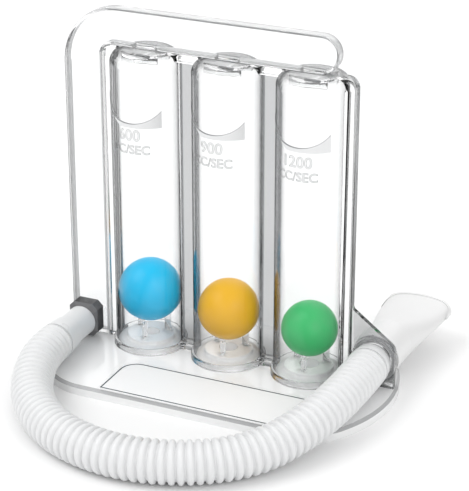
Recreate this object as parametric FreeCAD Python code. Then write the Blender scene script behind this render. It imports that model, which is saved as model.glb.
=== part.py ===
"""Three-ball incentive spirometer: a flow exerciser for the lungs, standing on its base.

The patient breathes in at the mouthpiece. Air leaves the corrugated hose at the dark port
block, comes down the flat L-shaped duct from the tops of the three tubes, and enters the
tubes at their feet through the seats that the balls rest on, so that the balls rise.

Millimetres, +Z up, +Y towards the back. The origin is the middle of the base's underside.
"""

import FreeCAD, Part
import math
import os

# Base: a skirted tray, straight at front and back, with bulging ends.
BASE_LENGTH = 138.0
BASE_DEPTH = 79.0
BASE_HEIGHT = 4.0
BASE_SKIN = 1.8
BASE_SKIRT = 2.0
BASE_BEVEL = 1.1
BASE_END_RADIUS = 55.0
BASE_CORNER_RADIUS = 22.0
AIR_HOLE_RADIUS = 6.0
AIR_NOTCH_WIDTH = 12.0
AIR_NOTCH_HEIGHT = 1.5

# Blank label, stuck on the front of the base.
LABEL_LEFT = -34.0
LABEL_RIGHT = 47.0
LABEL_DEPTH = 24.0
LABEL_MARGIN = 0.6
LABEL_THICKNESS = 0.25
LABEL_REAR_RADIUS = 7.0

# Body: two clear half shells that meet in the plane of the flange and the webs.
BODY_PLANE_Y = 7.0
BODY_LEFT_MARGIN = 4.0
BODY_RIGHT_MARGIN = 3.4
BODY_HEIGHT = 120.5
BODY_CORNER_RADIUS = 4.5
HALF_PLATE = 2.65
PLATE_RIM_RADIUS = 0.8
HALF_WEB = 1.1
WEB_MARGIN = 3.0

# Tubes.
TUBE_MIDDLE_X = -0.7
TUBE_PITCH = 33.6
TUBE_RADIUS = 13.7
TUBE_WALL = 0.9
TUBE_ROOF = 1.5
TUBE_SHOULDER = 5.0
FOOT_BEAD = 1.0
FOOT_BEAD_HEIGHT = 2.6
FOOT_BEAD_ROUND = 0.7
NOTCH_LENGTH = 5.7
NOTCH_WIDTH = 1.8
NOTCH_DEPTH = 0.8
NOTCH_FORWARD = 8.8
NOTCH_RIGHT = 3.1

# Ribs under each tube's roof that stop the ball short of the air slot.
STOP_OFFSET = 5.0
STOP_THICKNESS = 1.2
STOP_LENGTH = 14.0
STOP_DEPTH = 2.5

# Lugs under the webs, which plug into the base.
LUG_WIDTH = 3.8
LUG_INSET = 0.5
LUG_DEPTH = 2.4
LUG_CLEARANCE = 0.1

# Flat duct: up the left side and along the tops of the tubes.
DUCT_WIDTH = 16.0
DUCT_BAR_HEIGHT = 14.5
DUCT_REACH = 10.5
DUCT_CORNER_RADIUS = 23.0
DUCT_WALL = 1.2
DUCT_RIM_RADIUS = 1.1
SLOT_LENGTH = 9.0

# Balls, left to right, each with its radius, the height of its underside over the base's
# top at rest, and the radius of the air orifice in its seat.
BALL_RADIUS = {"left": 12.5, "middle": 12.0, "right": 10.8}
BALL_LIFT = {"left": 9.8, "middle": 8.3, "right": 8.0}
ORIFICE_RADIUS = {"left": 3.3, "middle": 3.6, "right": 3.9}
BALL_GAP = 0.3

# Seats, one in each tube's foot.
SEAT_CLEARANCE = 0.1
SEAT_FLANGE = 1.5
SEAT_BOSS_RADIUS = 9.5
SEAT_BOSS_HEIGHT = 3.9
SEAT_BOSS_ROUND = 0.6
FIN_INNER_RADIUS = 5.4
FIN_OUTER_RADIUS = 7.8
FIN_THICKNESS = 1.3
FIN_FIRST_ANGLE = 155.0
FIN_COUNT = 3

# Port block at the foot of the duct, with a spigot behind and a nozzle in front.
PORT_HEIGHT = 7.75
PORT_WIDTH = 12.4
PORT_TALL = 13.8
PORT_DEPTH = 6.6
PORT_BEVEL = 1.8
PORT_EDGE = 2.2
GASKET_THICKNESS = 0.8
GASKET_RADIUS = 5.4
SPIGOT_RADIUS = 4.4
SPIGOT_CLEARANCE = 0.1
SPIGOT_BORE = 3.2
NOZZLE_RADIUS = 5.05
NOZZLE_BORE = 4.0
NOZZLE_LENGTH = 10.5

# Hose and its two smooth cuffs.
HOSE_RADIUS = 7.7
CUFF_RADIUS = 7.4
CUFF_FIT = 0.05
CUFF_RING = 0.45
CUFF_RING_WIDTH = 1.6
PORT_CUFF_RADIUS = 6.05
PORT_SLEEVE_LENGTH = 11.95
PORT_COLLAR_RADIUS = 6.7
PORT_COLLAR_END_RADIUS = 7.3
PORT_CUFF_LENGTH = 19.95
HOLDER_CUFF_BORE = 6.2
HOLDER_CUFF_LEAD = 4.0

# Holder: a gusset beside the body's right edge, with a collar that the last cuff lies in.
HOLDER_SIDE_GAP = 0.9
HOLDER_CLEARANCE = 0.2
COLLAR_WALL = 1.3
COLLAR_LENGTH = 4.6
GUSSET_TOP = 29.9
GUSSET_SHOULDER = 17.0
GUSSET_SHOULDER_RADIUS = 4.0
GUSSET_ROOT_RADIUS = 2.0

# Mouthpiece: a round socket that flattens into an oval bill.
MOUTHPIECE_GAP = 0.6
MOUTHPIECE_RADIUS = 8.9
MOUTHPIECE_WALL = 1.2
MOUTHPIECE_LENGTH = 51.3
SOCKET_DEPTH = 14.0
SOCKET_END_GAP = 0.3
BILL_HALF_WIDTH = 13.5
BILL_HALF_HEIGHT = 4.0
BILL_CORNER_RADIUS = 6.0
LIP_WIDTH = 1.2
LIP_RISE = 0.4

# The hose's middle line, chosen by hand: out of the port, over the base's left front, round
# on the table, up over the right front and back into the holder.
HOSE_ROUTE = [
    (-60.0, -23.0, 11.75),
    (-60.0, -34.5, 11.75),
    (-56.0, -48.6, 9.9),
    (-49.2, -61.2, 8.5),
    (-38.2, -73.1, 8.1),
    (-24.6, -81.5, 8.1),
    (-9.5, -85.8, 8.1),
    (5.8, -86.0, 8.1),
    (20.3, -82.0, 8.1),
    (33.4, -74.3, 8.1),
    (44.5, -62.6, 8.6),
    (52.9, -46.9, 11.2),
    (57.3, -29.1, 13.2),
    (58.3, -11.8, 13.5),
    (58.3, 3.0, 13.5),
]
HOSE_ARC_SHARE = 0.45

# Places that several pieces share.
TUBE_X = {
    "left": TUBE_MIDDLE_X - TUBE_PITCH,
    "middle": TUBE_MIDDLE_X,
    "right": TUBE_MIDDLE_X + TUBE_PITCH,
}
BODY_LEFT = TUBE_X["left"] - TUBE_RADIUS - BODY_LEFT_MARGIN
BODY_RIGHT = TUBE_X["right"] + TUBE_RADIUS + BODY_RIGHT_MARGIN
BODY_TOP = BASE_HEIGHT + BODY_HEIGHT
BORE_RADIUS = TUBE_RADIUS - TUBE_WALL
CEILING = BODY_TOP - TUBE_ROOF
WEB_X = [TUBE_MIDDLE_X - TUBE_PITCH / 2, TUBE_MIDDLE_X + TUBE_PITCH / 2]
DUCT_LEFT = BODY_LEFT - DUCT_WIDTH
DUCT_RIGHT = TUBE_X["right"] + DUCT_REACH
DUCT_TOP = BODY_TOP + DUCT_BAR_HEIGHT
DUCT_HALF_CAVITY = HALF_PLATE - DUCT_WALL
PORT_X = BODY_LEFT - DUCT_WIDTH / 2
PORT_Z = BASE_HEIGHT + PORT_HEIGHT
DUCT_FRONT_Y = BODY_PLANE_Y - HALF_PLATE
PORT_BACK_Y = DUCT_FRONT_Y - GASKET_THICKNESS
PORT_FRONT_Y = PORT_BACK_Y - PORT_DEPTH
HOLDER_X = BODY_RIGHT + HOLDER_SIDE_GAP + CUFF_RADIUS
HOLDER_Z = BASE_HEIGHT + MOUTHPIECE_GAP + MOUTHPIECE_RADIUS
COLLAR_BORE = CUFF_RADIUS + HOLDER_CLEARANCE
COLLAR_RADIUS = COLLAR_BORE + COLLAR_WALL
COLLAR_END_Y = BODY_PLANE_Y + COLLAR_LENGTH
MOUTHPIECE_START_Y = COLLAR_END_Y + MOUTHPIECE_GAP
SOCKET_END_Y = MOUTHPIECE_START_Y + SOCKET_DEPTH
FRONT = -1
BACK = 1
BEYOND = 5.0
Z_AXIS = FreeCAD.Vector(0, 0, 1)
Y_AXIS = FreeCAD.Vector(0, 1, 0)


def point(x, y, z):
    return FreeCAD.Vector(x, y, z)


def box(x_range, y_range, z_range):
    """A block between two values on each axis, in either order."""
    (x0, x1), (y0, y1), (z0, z1) = (sorted(r) for r in (x_range, y_range, z_range))
    return Part.makeBox(x1 - x0, y1 - y0, z1 - z0, point(x0, y0, z0))


def rod_y(radius, x, z, y_range):
    """A round bar along Y."""
    y0, y1 = sorted(y_range)
    return Part.makeCylinder(radius, y1 - y0, point(x, y0, z), Y_AXIS)


def rod_z(radius, x, y, z_range):
    """A round bar along Z."""
    z0, z1 = sorted(z_range)
    return Part.makeCylinder(radius, z1 - z0, point(x, y, z0), Z_AXIS)


def rounded_face(corners, place):
    """A flat face with (u, v, radius) corners, which place turns into points in space."""
    stretches = []
    for i, (u, v, radius) in enumerate(corners):
        corner = place(u, v)
        if not radius:
            stretches.append((corner, None, corner))
            continue
        before, after = corners[i - 1], corners[(i + 1) % len(corners)]
        back = (place(before[0], before[1]) - corner).normalize()
        ahead = (place(after[0], after[1]) - corner).normalize()
        half = back.getAngle(ahead) / 2
        reach = radius / math.tan(half)
        inward = (back + ahead).normalize()
        middle = corner + inward * (radius / math.sin(half) - radius)
        stretches.append((corner + back * reach, middle, corner + ahead * reach))
    edges = []
    for i, (start, middle, end) in enumerate(stretches):
        if middle is not None:
            edges.append(Part.Arc(start, middle, end).toShape())
        following = stretches[(i + 1) % len(stretches)][0]
        if (following - end).Length > 1e-6:
            edges.append(Part.makeLine(end, following))
    return Part.Face(Part.Wire(edges))


def in_body_plane(x, z):
    return point(x, BODY_PLANE_Y, z)


def level(height):
    """Places (x, y) at a height."""
    return lambda x, y: point(x, y, height)


def edges_at(solid, axis, value):
    """The edges of a solid that lie in the plane where one coordinate has a value."""
    return [
        edge
        for edge in solid.Edges
        if abs(getattr(edge.BoundBox, axis + "Min") - value) < 1e-4
        and abs(getattr(edge.BoundBox, axis + "Max") - value) < 1e-4
    ]


def base_outline(inset, height):
    """The base's plan as a face: straight sides, corner arcs and flatter end arcs."""
    end_radius = BASE_END_RADIUS - inset
    corner_radius = BASE_CORNER_RADIUS - inset
    end_x = BASE_LENGTH / 2 - BASE_END_RADIUS
    corner_y = BASE_DEPTH / 2 - BASE_CORNER_RADIUS
    offset = math.sqrt((BASE_END_RADIUS - BASE_CORNER_RADIUS) ** 2 - corner_y**2)
    corner_x = end_x + offset
    turn = math.atan2(corner_y, offset)
    side_y = BASE_DEPTH / 2 - inset
    join = (end_x + end_radius * math.cos(turn), end_radius * math.sin(turn))
    halfway = (turn + math.pi / 2) / 2
    bulge = (
        corner_x + corner_radius * math.cos(halfway),
        corner_y + corner_radius * math.sin(halfway),
    )
    edges = []
    for s in (1, -1):
        edges.append(
            Part.Arc(
                point(s * corner_x, -s * side_y, height),
                point(s * bulge[0], -s * bulge[1], height),
                point(s * join[0], -s * join[1], height),
            ).toShape()
        )
        edges.append(
            Part.Arc(
                point(s * join[0], -s * join[1], height),
                point(s * (end_x + end_radius), 0, height),
                point(s * join[0], s * join[1], height),
            ).toShape()
        )
        edges.append(
            Part.Arc(
                point(s * join[0], s * join[1], height),
                point(s * bulge[0], s * bulge[1], height),
                point(s * corner_x, s * side_y, height),
            ).toShape()
        )
        edges.append(
            Part.makeLine(
                point(s * corner_x, s * side_y, height),
                point(-s * corner_x, s * side_y, height),
            )
        )
    return Part.Face(Part.Wire(edges))


def base_plate():
    """The tray, with air holes under the tubes, lug slots and notches in the rear skirt."""
    tray = base_outline(0, 0).extrude(Z_AXIS * BASE_HEIGHT)
    tray = tray.makeChamfer(BASE_BEVEL, edges_at(tray, "Z", BASE_HEIGHT))
    tray = tray.cut(base_outline(BASE_SKIRT, 0).extrude(Z_AXIS * (BASE_HEIGHT - BASE_SKIN)))
    for x in TUBE_X.values():
        tray = tray.cut(rod_z(AIR_HOLE_RADIUS, x, BODY_PLANE_Y, (0, BASE_HEIGHT)))
        notch_x = (x - AIR_NOTCH_WIDTH / 2, x + AIR_NOTCH_WIDTH / 2)
        notch_y = (BASE_DEPTH / 2 - BASE_SKIRT - BEYOND, BASE_DEPTH / 2 + BEYOND)
        tray = tray.cut(box(notch_x, notch_y, (0, AIR_NOTCH_HEIGHT)))
    half_slot_x = LUG_WIDTH / 2 + LUG_CLEARANCE
    half_slot_y = HALF_PLATE - LUG_INSET + LUG_CLEARANCE
    for x in WEB_X:
        slot_x = (x - half_slot_x, x + half_slot_x)
        slot_y = (BODY_PLANE_Y - half_slot_y, BODY_PLANE_Y + half_slot_y)
        tray = tray.cut(box(slot_x, slot_y, (0, BASE_HEIGHT)))
    return tray


def label_panel():
    """A blank label: square front corners at the base's bevel, rounded rear corners."""
    front = -BASE_DEPTH / 2 + BASE_BEVEL + LABEL_MARGIN
    rear = front + LABEL_DEPTH
    corners = [
        (LABEL_LEFT, front, 0),
        (LABEL_RIGHT, front, 0),
        (LABEL_RIGHT, rear, LABEL_REAR_RADIUS),
        (LABEL_LEFT, rear, LABEL_REAR_RADIUS),
    ]
    return rounded_face(corners, level(BASE_HEIGHT)).extrude(Z_AXIS * LABEL_THICKNESS)


def half_room(side):
    """All the space on one side of the body's plane, as far as the object reaches."""
    reach = BASE_LENGTH + BASE_DEPTH
    sideways = (-reach, reach)
    away = (BODY_PLANE_Y, BODY_PLANE_Y + side * reach)
    return box(sideways, away, (-BEYOND, DUCT_TOP + BEYOND))


def half_plate(corners, side, rim_radius):
    """A flat plate on one side of the body's plane, its outer rim rounded above the base."""
    plate = rounded_face(corners, in_body_plane).extrude(Y_AXIS * side * HALF_PLATE)
    rim = [
        edge
        for edge in edges_at(plate, "Y", BODY_PLANE_Y + side * HALF_PLATE)
        if edge.BoundBox.ZMax > BASE_HEIGHT + 1e-4
    ]
    return plate.makeFillet(rim_radius, rim)


def tube_outside(x):
    """A tube's outer form: foot bead, straight wall and rounded shoulder."""
    corners = [
        (0, BASE_HEIGHT, 0),
        (TUBE_RADIUS + FOOT_BEAD, BASE_HEIGHT, 0),
        (TUBE_RADIUS + FOOT_BEAD, BASE_HEIGHT + FOOT_BEAD_HEIGHT, FOOT_BEAD_ROUND),
        (TUBE_RADIUS, BASE_HEIGHT + FOOT_BEAD_HEIGHT, 0),
        (TUBE_RADIUS, BODY_TOP, TUBE_SHOULDER),
        (0, BODY_TOP, 0),
    ]
    profile = rounded_face(corners, lambda r, z: point(x + r, BODY_PLANE_Y, z))
    return profile.revolve(point(x, BODY_PLANE_Y, 0), Z_AXIS, 360)


def tube_inside(x):
    """The room in a tube, open at the foot."""
    corners = [
        (0, BASE_HEIGHT - BEYOND, 0),
        (BORE_RADIUS, BASE_HEIGHT - BEYOND, 0),
        (BORE_RADIUS, CEILING, TUBE_SHOULDER - TUBE_WALL),
        (0, CEILING, 0),
    ]
    profile = rounded_face(corners, lambda r, z: point(x + r, BODY_PLANE_Y, z))
    return profile.revolve(point(x, BODY_PLANE_Y, 0), Z_AXIS, 360)


def air_slot(x):
    """The slot that joins a tube's top to the duct."""
    along = (x - SLOT_LENGTH / 2, x + SLOT_LENGTH / 2)
    across = (BODY_PLANE_Y - DUCT_HALF_CAVITY, BODY_PLANE_Y + DUCT_HALF_CAVITY)
    return box(along, across, (CEILING - BEYOND, BODY_TOP + DUCT_WALL + DUCT_HALF_CAVITY))


def stop_rib(x, side):
    y = BODY_PLANE_Y + side * STOP_OFFSET
    along = (x - STOP_LENGTH / 2, x + STOP_LENGTH / 2)
    across = (y - STOP_THICKNESS / 2, y + STOP_THICKNESS / 2)
    return box(along, across, (CEILING - STOP_DEPTH, CEILING + TUBE_ROOF / 2))


def lug(x, side):
    along = (x - LUG_WIDTH / 2, x + LUG_WIDTH / 2)
    across = (BODY_PLANE_Y, BODY_PLANE_Y + side * (HALF_PLATE - LUG_INSET))
    return box(along, across, (BASE_HEIGHT - LUG_DEPTH, BASE_HEIGHT + PLATE_RIM_RADIUS))


def web_pocket(x, side):
    """The room that leaves the web between two tubes thinner than the flange."""
    along = (x - TUBE_PITCH / 2, x + TUBE_PITCH / 2)
    across = (BODY_PLANE_Y + side * HALF_WEB, BODY_PLANE_Y + side * (HALF_PLATE + BEYOND))
    return box(along, across, (BASE_HEIGHT + WEB_MARGIN, BODY_TOP - WEB_MARGIN))


def body_half(plate, side):
    """One half shell: its plate with three half tubes, ribs under the roofs and lugs."""
    shell = plate
    for x in WEB_X:
        shell = shell.cut(web_pocket(x, side))
    for x in TUBE_X.values():
        shell = shell.fuse(tube_outside(x).common(half_room(side)))
    for x in TUBE_X.values():
        shell = shell.cut(tube_inside(x))
    for x in TUBE_X.values():
        shell = shell.fuse(stop_rib(x, side))
        shell = shell.cut(air_slot(x))
    for x in WEB_X:
        shell = shell.fuse(lug(x, side))
    return shell.removeSplitter()


def front_shell():
    """The front half, with a small blind notch in each tube's top."""
    corners = [
        (BODY_LEFT, BASE_HEIGHT, 0),
        (BODY_RIGHT, BASE_HEIGHT, 0),
        (BODY_RIGHT, BODY_TOP, BODY_CORNER_RADIUS),
        (BODY_LEFT, BODY_TOP, BODY_CORNER_RADIUS),
    ]
    shell = body_half(half_plate(corners, FRONT, PLATE_RIM_RADIUS), FRONT)
    notch_y = BODY_PLANE_Y - NOTCH_FORWARD
    for x in TUBE_X.values():
        notch_x = x + NOTCH_RIGHT
        along = (notch_x - NOTCH_LENGTH / 2, notch_x + NOTCH_LENGTH / 2)
        across = (notch_y - NOTCH_WIDTH / 2, notch_y + NOTCH_WIDTH / 2)
        shell = shell.cut(box(along, across, (BODY_TOP - NOTCH_DEPTH, BODY_TOP + BEYOND)))
    return shell


def rear_shell():
    """The rear half, whose plate runs on into the gusset and collar of the hose holder."""
    gusset_right = HOLDER_X + COLLAR_RADIUS
    corners = [
        (BODY_LEFT, BASE_HEIGHT, 0),
        (gusset_right, BASE_HEIGHT, 0),
        (gusset_right, BASE_HEIGHT + GUSSET_SHOULDER, GUSSET_SHOULDER_RADIUS),
        (BODY_RIGHT, BASE_HEIGHT + GUSSET_TOP, GUSSET_ROOT_RADIUS),
        (BODY_RIGHT, BODY_TOP, BODY_CORNER_RADIUS),
        (BODY_LEFT, BODY_TOP, BODY_CORNER_RADIUS),
    ]
    shell = body_half(half_plate(corners, BACK, PLATE_RIM_RADIUS), BACK)
    collar = rod_y(COLLAR_RADIUS, HOLDER_X, HOLDER_Z, (BODY_PLANE_Y, COLLAR_END_Y))
    through = (BODY_PLANE_Y - BEYOND, COLLAR_END_Y + BEYOND)
    return shell.fuse(collar).cut(rod_y(COLLAR_BORE, HOLDER_X, HOLDER_Z, through))


def duct_corners(inset):
    """The duct's L in the body's plane, or its cavity when inset by the wall."""
    left, right = DUCT_LEFT + inset, DUCT_RIGHT - inset
    top, under_bar = DUCT_TOP - inset, BODY_TOP + inset
    end_radius = (top - under_bar) / 2 - 0.01
    return [
        (left, BASE_HEIGHT + inset, 0),
        (BODY_LEFT - inset, BASE_HEIGHT + inset, 0),
        (BODY_LEFT - inset, under_bar, BODY_CORNER_RADIUS + inset),
        (right, under_bar, end_radius),
        (right, top, end_radius),
        (left, top, DUCT_CORNER_RADIUS - inset),
    ]


def duct_half(side):
    """Half of the flat duct, hollow towards the other half and open to each tube."""
    half = half_plate(duct_corners(0), side, DUCT_RIM_RADIUS)
    cavity = rounded_face(duct_corners(DUCT_WALL), in_body_plane)
    half = half.cut(cavity.extrude(Y_AXIS * side * DUCT_HALF_CAVITY))
    for x in TUBE_X.values():
        half = half.cut(air_slot(x))
    return half


def front_duct():
    """The duct's front half, with the hole that the port's spigot plugs into."""
    hole = rod_y(SPIGOT_RADIUS + SPIGOT_CLEARANCE, PORT_X, PORT_Z, (PORT_BACK_Y, BODY_PLANE_Y))
    return duct_half(FRONT).cut(hole)


def rest_height(tube):
    """The height of a ball's middle when it rests."""
    return BASE_HEIGHT + BALL_LIFT[tube] + BALL_RADIUS[tube]


def ball(tube):
    centre = point(TUBE_X[tube], BODY_PLANE_Y, rest_height(tube))
    return Part.makeSphere(BALL_RADIUS[tube], centre)


def ball_travel(tube):
    """How far a ball rises before it meets the ribs under the roof."""
    rib_edge = STOP_OFFSET - STOP_THICKNESS / 2
    cap = math.sqrt((BALL_RADIUS[tube] + BALL_GAP) ** 2 - rib_edge**2)
    return CEILING - STOP_DEPTH - cap - rest_height(tube)


def inlet_seat(tube):
    """A seat: flange in the bore, boss with the air orifice, and fins that cradle the ball."""
    x = TUBE_X[tube]
    boss_top = BASE_HEIGHT + SEAT_BOSS_HEIGHT
    flange_radius = BORE_RADIUS - SEAT_CLEARANCE
    seat = rod_z(flange_radius, x, BODY_PLANE_Y, (BASE_HEIGHT, BASE_HEIGHT + SEAT_FLANGE))
    boss = rod_z(SEAT_BOSS_RADIUS, x, BODY_PLANE_Y, (BASE_HEIGHT, boss_top))
    boss = boss.makeFillet(SEAT_BOSS_ROUND, edges_at(boss, "Z", boss_top))
    seat = seat.fuse(boss)
    reach = BALL_RADIUS[tube] + BALL_GAP
    fin_top = rest_height(tube) - math.sqrt(reach**2 - FIN_OUTER_RADIUS**2)
    for number in range(FIN_COUNT):
        fin = box(
            (x + FIN_INNER_RADIUS, x + FIN_OUTER_RADIUS),
            (BODY_PLANE_Y - FIN_THICKNESS / 2, BODY_PLANE_Y + FIN_THICKNESS / 2),
            (boss_top - SEAT_BOSS_ROUND, fin_top),
        )
        angle = FIN_FIRST_ANGLE + number * 360 / FIN_COUNT
        fin.rotate(point(x, BODY_PLANE_Y, 0), Z_AXIS, angle)
        seat = seat.fuse(fin)
    seat = seat.cut(Part.makeSphere(reach, point(x, BODY_PLANE_Y, rest_height(tube))))
    orifice = rod_z(ORIFICE_RADIUS[tube], x, BODY_PLANE_Y, (BASE_HEIGHT, boss_top))
    return seat.cut(orifice).removeSplitter()


def port_gasket():
    ring = rod_y(GASKET_RADIUS, PORT_X, PORT_Z, (PORT_BACK_Y, DUCT_FRONT_Y))
    hole_radius = SPIGOT_RADIUS + SPIGOT_CLEARANCE
    return ring.cut(rod_y(hole_radius, PORT_X, PORT_Z, (PORT_BACK_Y, DUCT_FRONT_Y)))


def port_section(inset, y):
    """The block's outline across the port: an oblong with its corners cut off."""
    wide, tall = PORT_WIDTH / 2 - inset, PORT_TALL / 2 - inset
    short, low = wide - PORT_EDGE, tall - PORT_EDGE
    corners = [(wide, -low), (wide, low), (short, tall), (-short, tall)]
    corners += [(-u, -v) for u, v in corners]
    places = [point(PORT_X + u, y, PORT_Z + v) for u, v in corners]
    return Part.makePolygon(places + places[:1])


def port_block():
    """A bevelled block with a spigot into the duct and a nozzle for the hose's cuff."""
    shoulder_y = PORT_FRONT_Y + PORT_BEVEL
    sections = [port_section(0, PORT_BACK_Y), port_section(0, shoulder_y)]
    sections.append(port_section(PORT_BEVEL, PORT_FRONT_Y))
    block = Part.makeLoft(sections, True, True)
    nozzle_tip = PORT_FRONT_Y - NOZZLE_LENGTH
    spigot_tip = DUCT_FRONT_Y + DUCT_WALL
    block = block.fuse(rod_y(NOZZLE_RADIUS - CUFF_FIT, PORT_X, PORT_Z, (nozzle_tip, PORT_BACK_Y)))
    block = block.fuse(rod_y(SPIGOT_RADIUS, PORT_X, PORT_Z, (PORT_BACK_Y, spigot_tip)))
    middle_y = (PORT_FRONT_Y + PORT_BACK_Y) / 2
    block = block.cut(rod_y(NOZZLE_BORE, PORT_X, PORT_Z, (nozzle_tip, middle_y)))
    return block.cut(rod_y(SPIGOT_BORE, PORT_X, PORT_Z, (middle_y, spigot_tip)))


def port_cuff():
    """A smooth sleeve over the nozzle, and a flared collar where the hose's ribs begin."""
    wall = PORT_CUFF_RADIUS - NOZZLE_RADIUS
    corners = [
        (NOZZLE_RADIUS, 0, 0),
        (PORT_CUFF_RADIUS, 0, 0),
        (PORT_CUFF_RADIUS, PORT_SLEEVE_LENGTH, 0),
        (PORT_COLLAR_RADIUS, PORT_SLEEVE_LENGTH, 0),
        (PORT_COLLAR_END_RADIUS, PORT_CUFF_LENGTH, 0),
        (PORT_COLLAR_END_RADIUS - wall, PORT_CUFF_LENGTH, 0),
        (NOZZLE_RADIUS, PORT_SLEEVE_LENGTH, 0),
    ]
    profile = rounded_face(corners, lambda r, along: point(PORT_X + r, PORT_FRONT_Y - along, PORT_Z))
    return profile.revolve(point(PORT_X, 0, PORT_Z), Y_AXIS, 360)


def holder_cuff():
    """A smooth hose end with a low ring where the ribs of the hose begin."""
    start = BODY_PLANE_Y - HOLDER_CUFF_LEAD
    end = SOCKET_END_Y - SOCKET_END_GAP
    sleeve = rod_y(CUFF_RADIUS, HOLDER_X, HOLDER_Z, (start, end))
    ring = rod_y(CUFF_RADIUS + CUFF_RING, HOLDER_X, HOLDER_Z, (start, start + CUFF_RING_WIDTH))
    return sleeve.fuse(ring).cut(rod_y(HOLDER_CUFF_BORE, HOLDER_X, HOLDER_Z, (start, end)))


def oval(half_width, half_height, y):
    """A closed oval wire across the mouthpiece, wide along X."""
    if half_width - half_height < 1e-6:
        curve = Part.Circle(point(HOLDER_X, y, HOLDER_Z), Y_AXIS, half_width)
    else:
        curve = Part.Ellipse(
            point(HOLDER_X + half_width, y, HOLDER_Z),
            point(HOLDER_X, y, HOLDER_Z + half_height),
            point(HOLDER_X, y, HOLDER_Z),
        )
    return Part.Wire([curve.toShape()])


def bill(inset):
    """The solid form of the bill from the socket to the tip, inset by a wall."""
    start = SOCKET_END_Y
    length = MOUTHPIECE_START_Y + MOUTHPIECE_LENGTH - start
    wires = []
    for share in (0.0, 0.2, 0.45, 0.75, 1.0):
        ease = math.sin(share * math.pi / 2)
        half_width = MOUTHPIECE_RADIUS + (BILL_HALF_WIDTH - MOUTHPIECE_RADIUS) * ease - inset
        half_height = MOUTHPIECE_RADIUS + (BILL_HALF_HEIGHT - MOUTHPIECE_RADIUS) * ease - inset
        wires.append(oval(half_width, half_height, start + share * length))
    return Part.makeLoft(wires, True, False)


def bill_room(inset):
    """The space inside the bill's plan: rounded corners at the tip, wide at the socket."""
    tip = MOUTHPIECE_START_Y + MOUTHPIECE_LENGTH - inset
    half_width = BILL_HALF_WIDTH - inset
    corners = [
        (HOLDER_X - half_width - BEYOND, MOUTHPIECE_START_Y - BEYOND, 0),
        (HOLDER_X + half_width + BEYOND, MOUTHPIECE_START_Y - BEYOND, 0),
        (HOLDER_X + half_width + BEYOND, SOCKET_END_Y, 0),
        (HOLDER_X + half_width, tip, BILL_CORNER_RADIUS - inset),
        (HOLDER_X - half_width, tip, BILL_CORNER_RADIUS - inset),
        (HOLDER_X - half_width - BEYOND, SOCKET_END_Y, 0),
    ]
    plan = rounded_face(corners, level(HOLDER_Z - MOUTHPIECE_RADIUS - BEYOND))
    return plan.extrude(Z_AXIS * 2 * (MOUTHPIECE_RADIUS + BEYOND))


def mouthpiece():
    """Round socket over the cuff, and a hollow oval bill with a low lip round its tip."""
    socket = rod_y(MOUTHPIECE_RADIUS, HOLDER_X, HOLDER_Z, (MOUTHPIECE_START_Y, SOCKET_END_Y))
    form = socket.fuse(bill(0)).common(bill_room(0))
    form = form.fuse(bill(-LIP_RISE).common(bill_room(0)).cut(bill_room(LIP_WIDTH)))
    form = form.cut(bill(MOUTHPIECE_WALL))
    socket_bore = CUFF_RADIUS + CUFF_FIT
    return form.cut(rod_y(socket_bore, HOLDER_X, HOLDER_Z, (MOUTHPIECE_START_Y, SOCKET_END_Y)))


def hose_path():
    """The hose's middle line as straight runs joined by tangent arcs, and the arcs' radii."""
    places = [point(*p) for p in HOSE_ROUTE]
    edges = []
    radii = []
    start = places[0]
    for before, corner, after in zip(places, places[1:], places[2:]):
        back, ahead = before - corner, after - corner
        shorter = min(back.Length, ahead.Length)
        back.normalize()
        ahead.normalize()
        half_turn = (math.pi - back.getAngle(ahead)) / 2
        reach = HOSE_ARC_SHARE * shorter
        radius = reach / math.tan(half_turn)
        radii.append(radius)
        inward = (back + ahead).normalize()
        middle = corner + inward * (radius / math.cos(half_turn) - radius)
        first, last = corner + back * reach, corner + ahead * reach
        edges.append(Part.LineSegment(start, first).toShape())
        edges.append(Part.Arc(first, middle, last).toShape())
        start = last
    edges.append(Part.LineSegment(start, places[-1]).toShape())
    return Part.Wire(edges), radii


def hose():
    """The hose as a plain tube along its path, checked against its section times length."""
    path, radii = hose_path()
    circle = Part.Circle(point(*HOSE_ROUTE[0]), Y_AXIS, HOSE_RADIUS)
    tube = path.makePipeShell([Part.Wire([circle.toShape()])], True, True)
    expected = math.pi * HOSE_RADIUS**2 * path.Length
    print("hose length", round(path.Length, 1), "volume share", round(tube.Volume / expected, 4))
    print("hose arc radii", [round(radius, 1) for radius in radii])
    return tube


def write(name, shape):
    """Checks a piece and writes it as one STEP file."""
    print(name, "valid", shape.isValid(), "solids", len(shape.Solids), round(shape.Volume, 1))
    solid = shape.Solids[0] if len(shape.Solids) == 1 else shape
    solid.exportStep("parts/" + name + ".step")


def main():
    os.makedirs("parts", exist_ok=True)
    write("base_plate", base_plate())
    write("label_panel", label_panel())
    write("front_shell", front_shell())
    write("rear_shell", rear_shell())
    write("front_duct", front_duct())
    write("rear_duct", duct_half(BACK))
    for tube in TUBE_X:
        write(tube + "_inlet_seat", inlet_seat(tube))
        write(tube + "_ball", ball(tube))
        print(tube, "ball travel", round(ball_travel(tube), 2), "rest", rest_height(tube))
    write("port_gasket", port_gasket())
    write("port_block", port_block())
    write("port_cuff", port_cuff())
    write("hose", hose())
    write("holder_cuff", holder_cuff())
    write("mouthpiece", mouthpiece())


main()
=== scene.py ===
"""Looks of an incentive spirometer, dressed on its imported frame.

Three clear tubes with coloured balls, a flat clear duct, a tray base with a blank label, a
corrugated hose in its smooth cuffs and an oval mouthpiece, on a pale studio floor. Metres, +Z up
along the tubes, +Y towards the back.
"""

import logging
import math
from collections.abc import Callable
from dataclasses import dataclass
from enum import Enum

import bmesh
import bpy
from mathutils import Matrix, Vector


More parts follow.
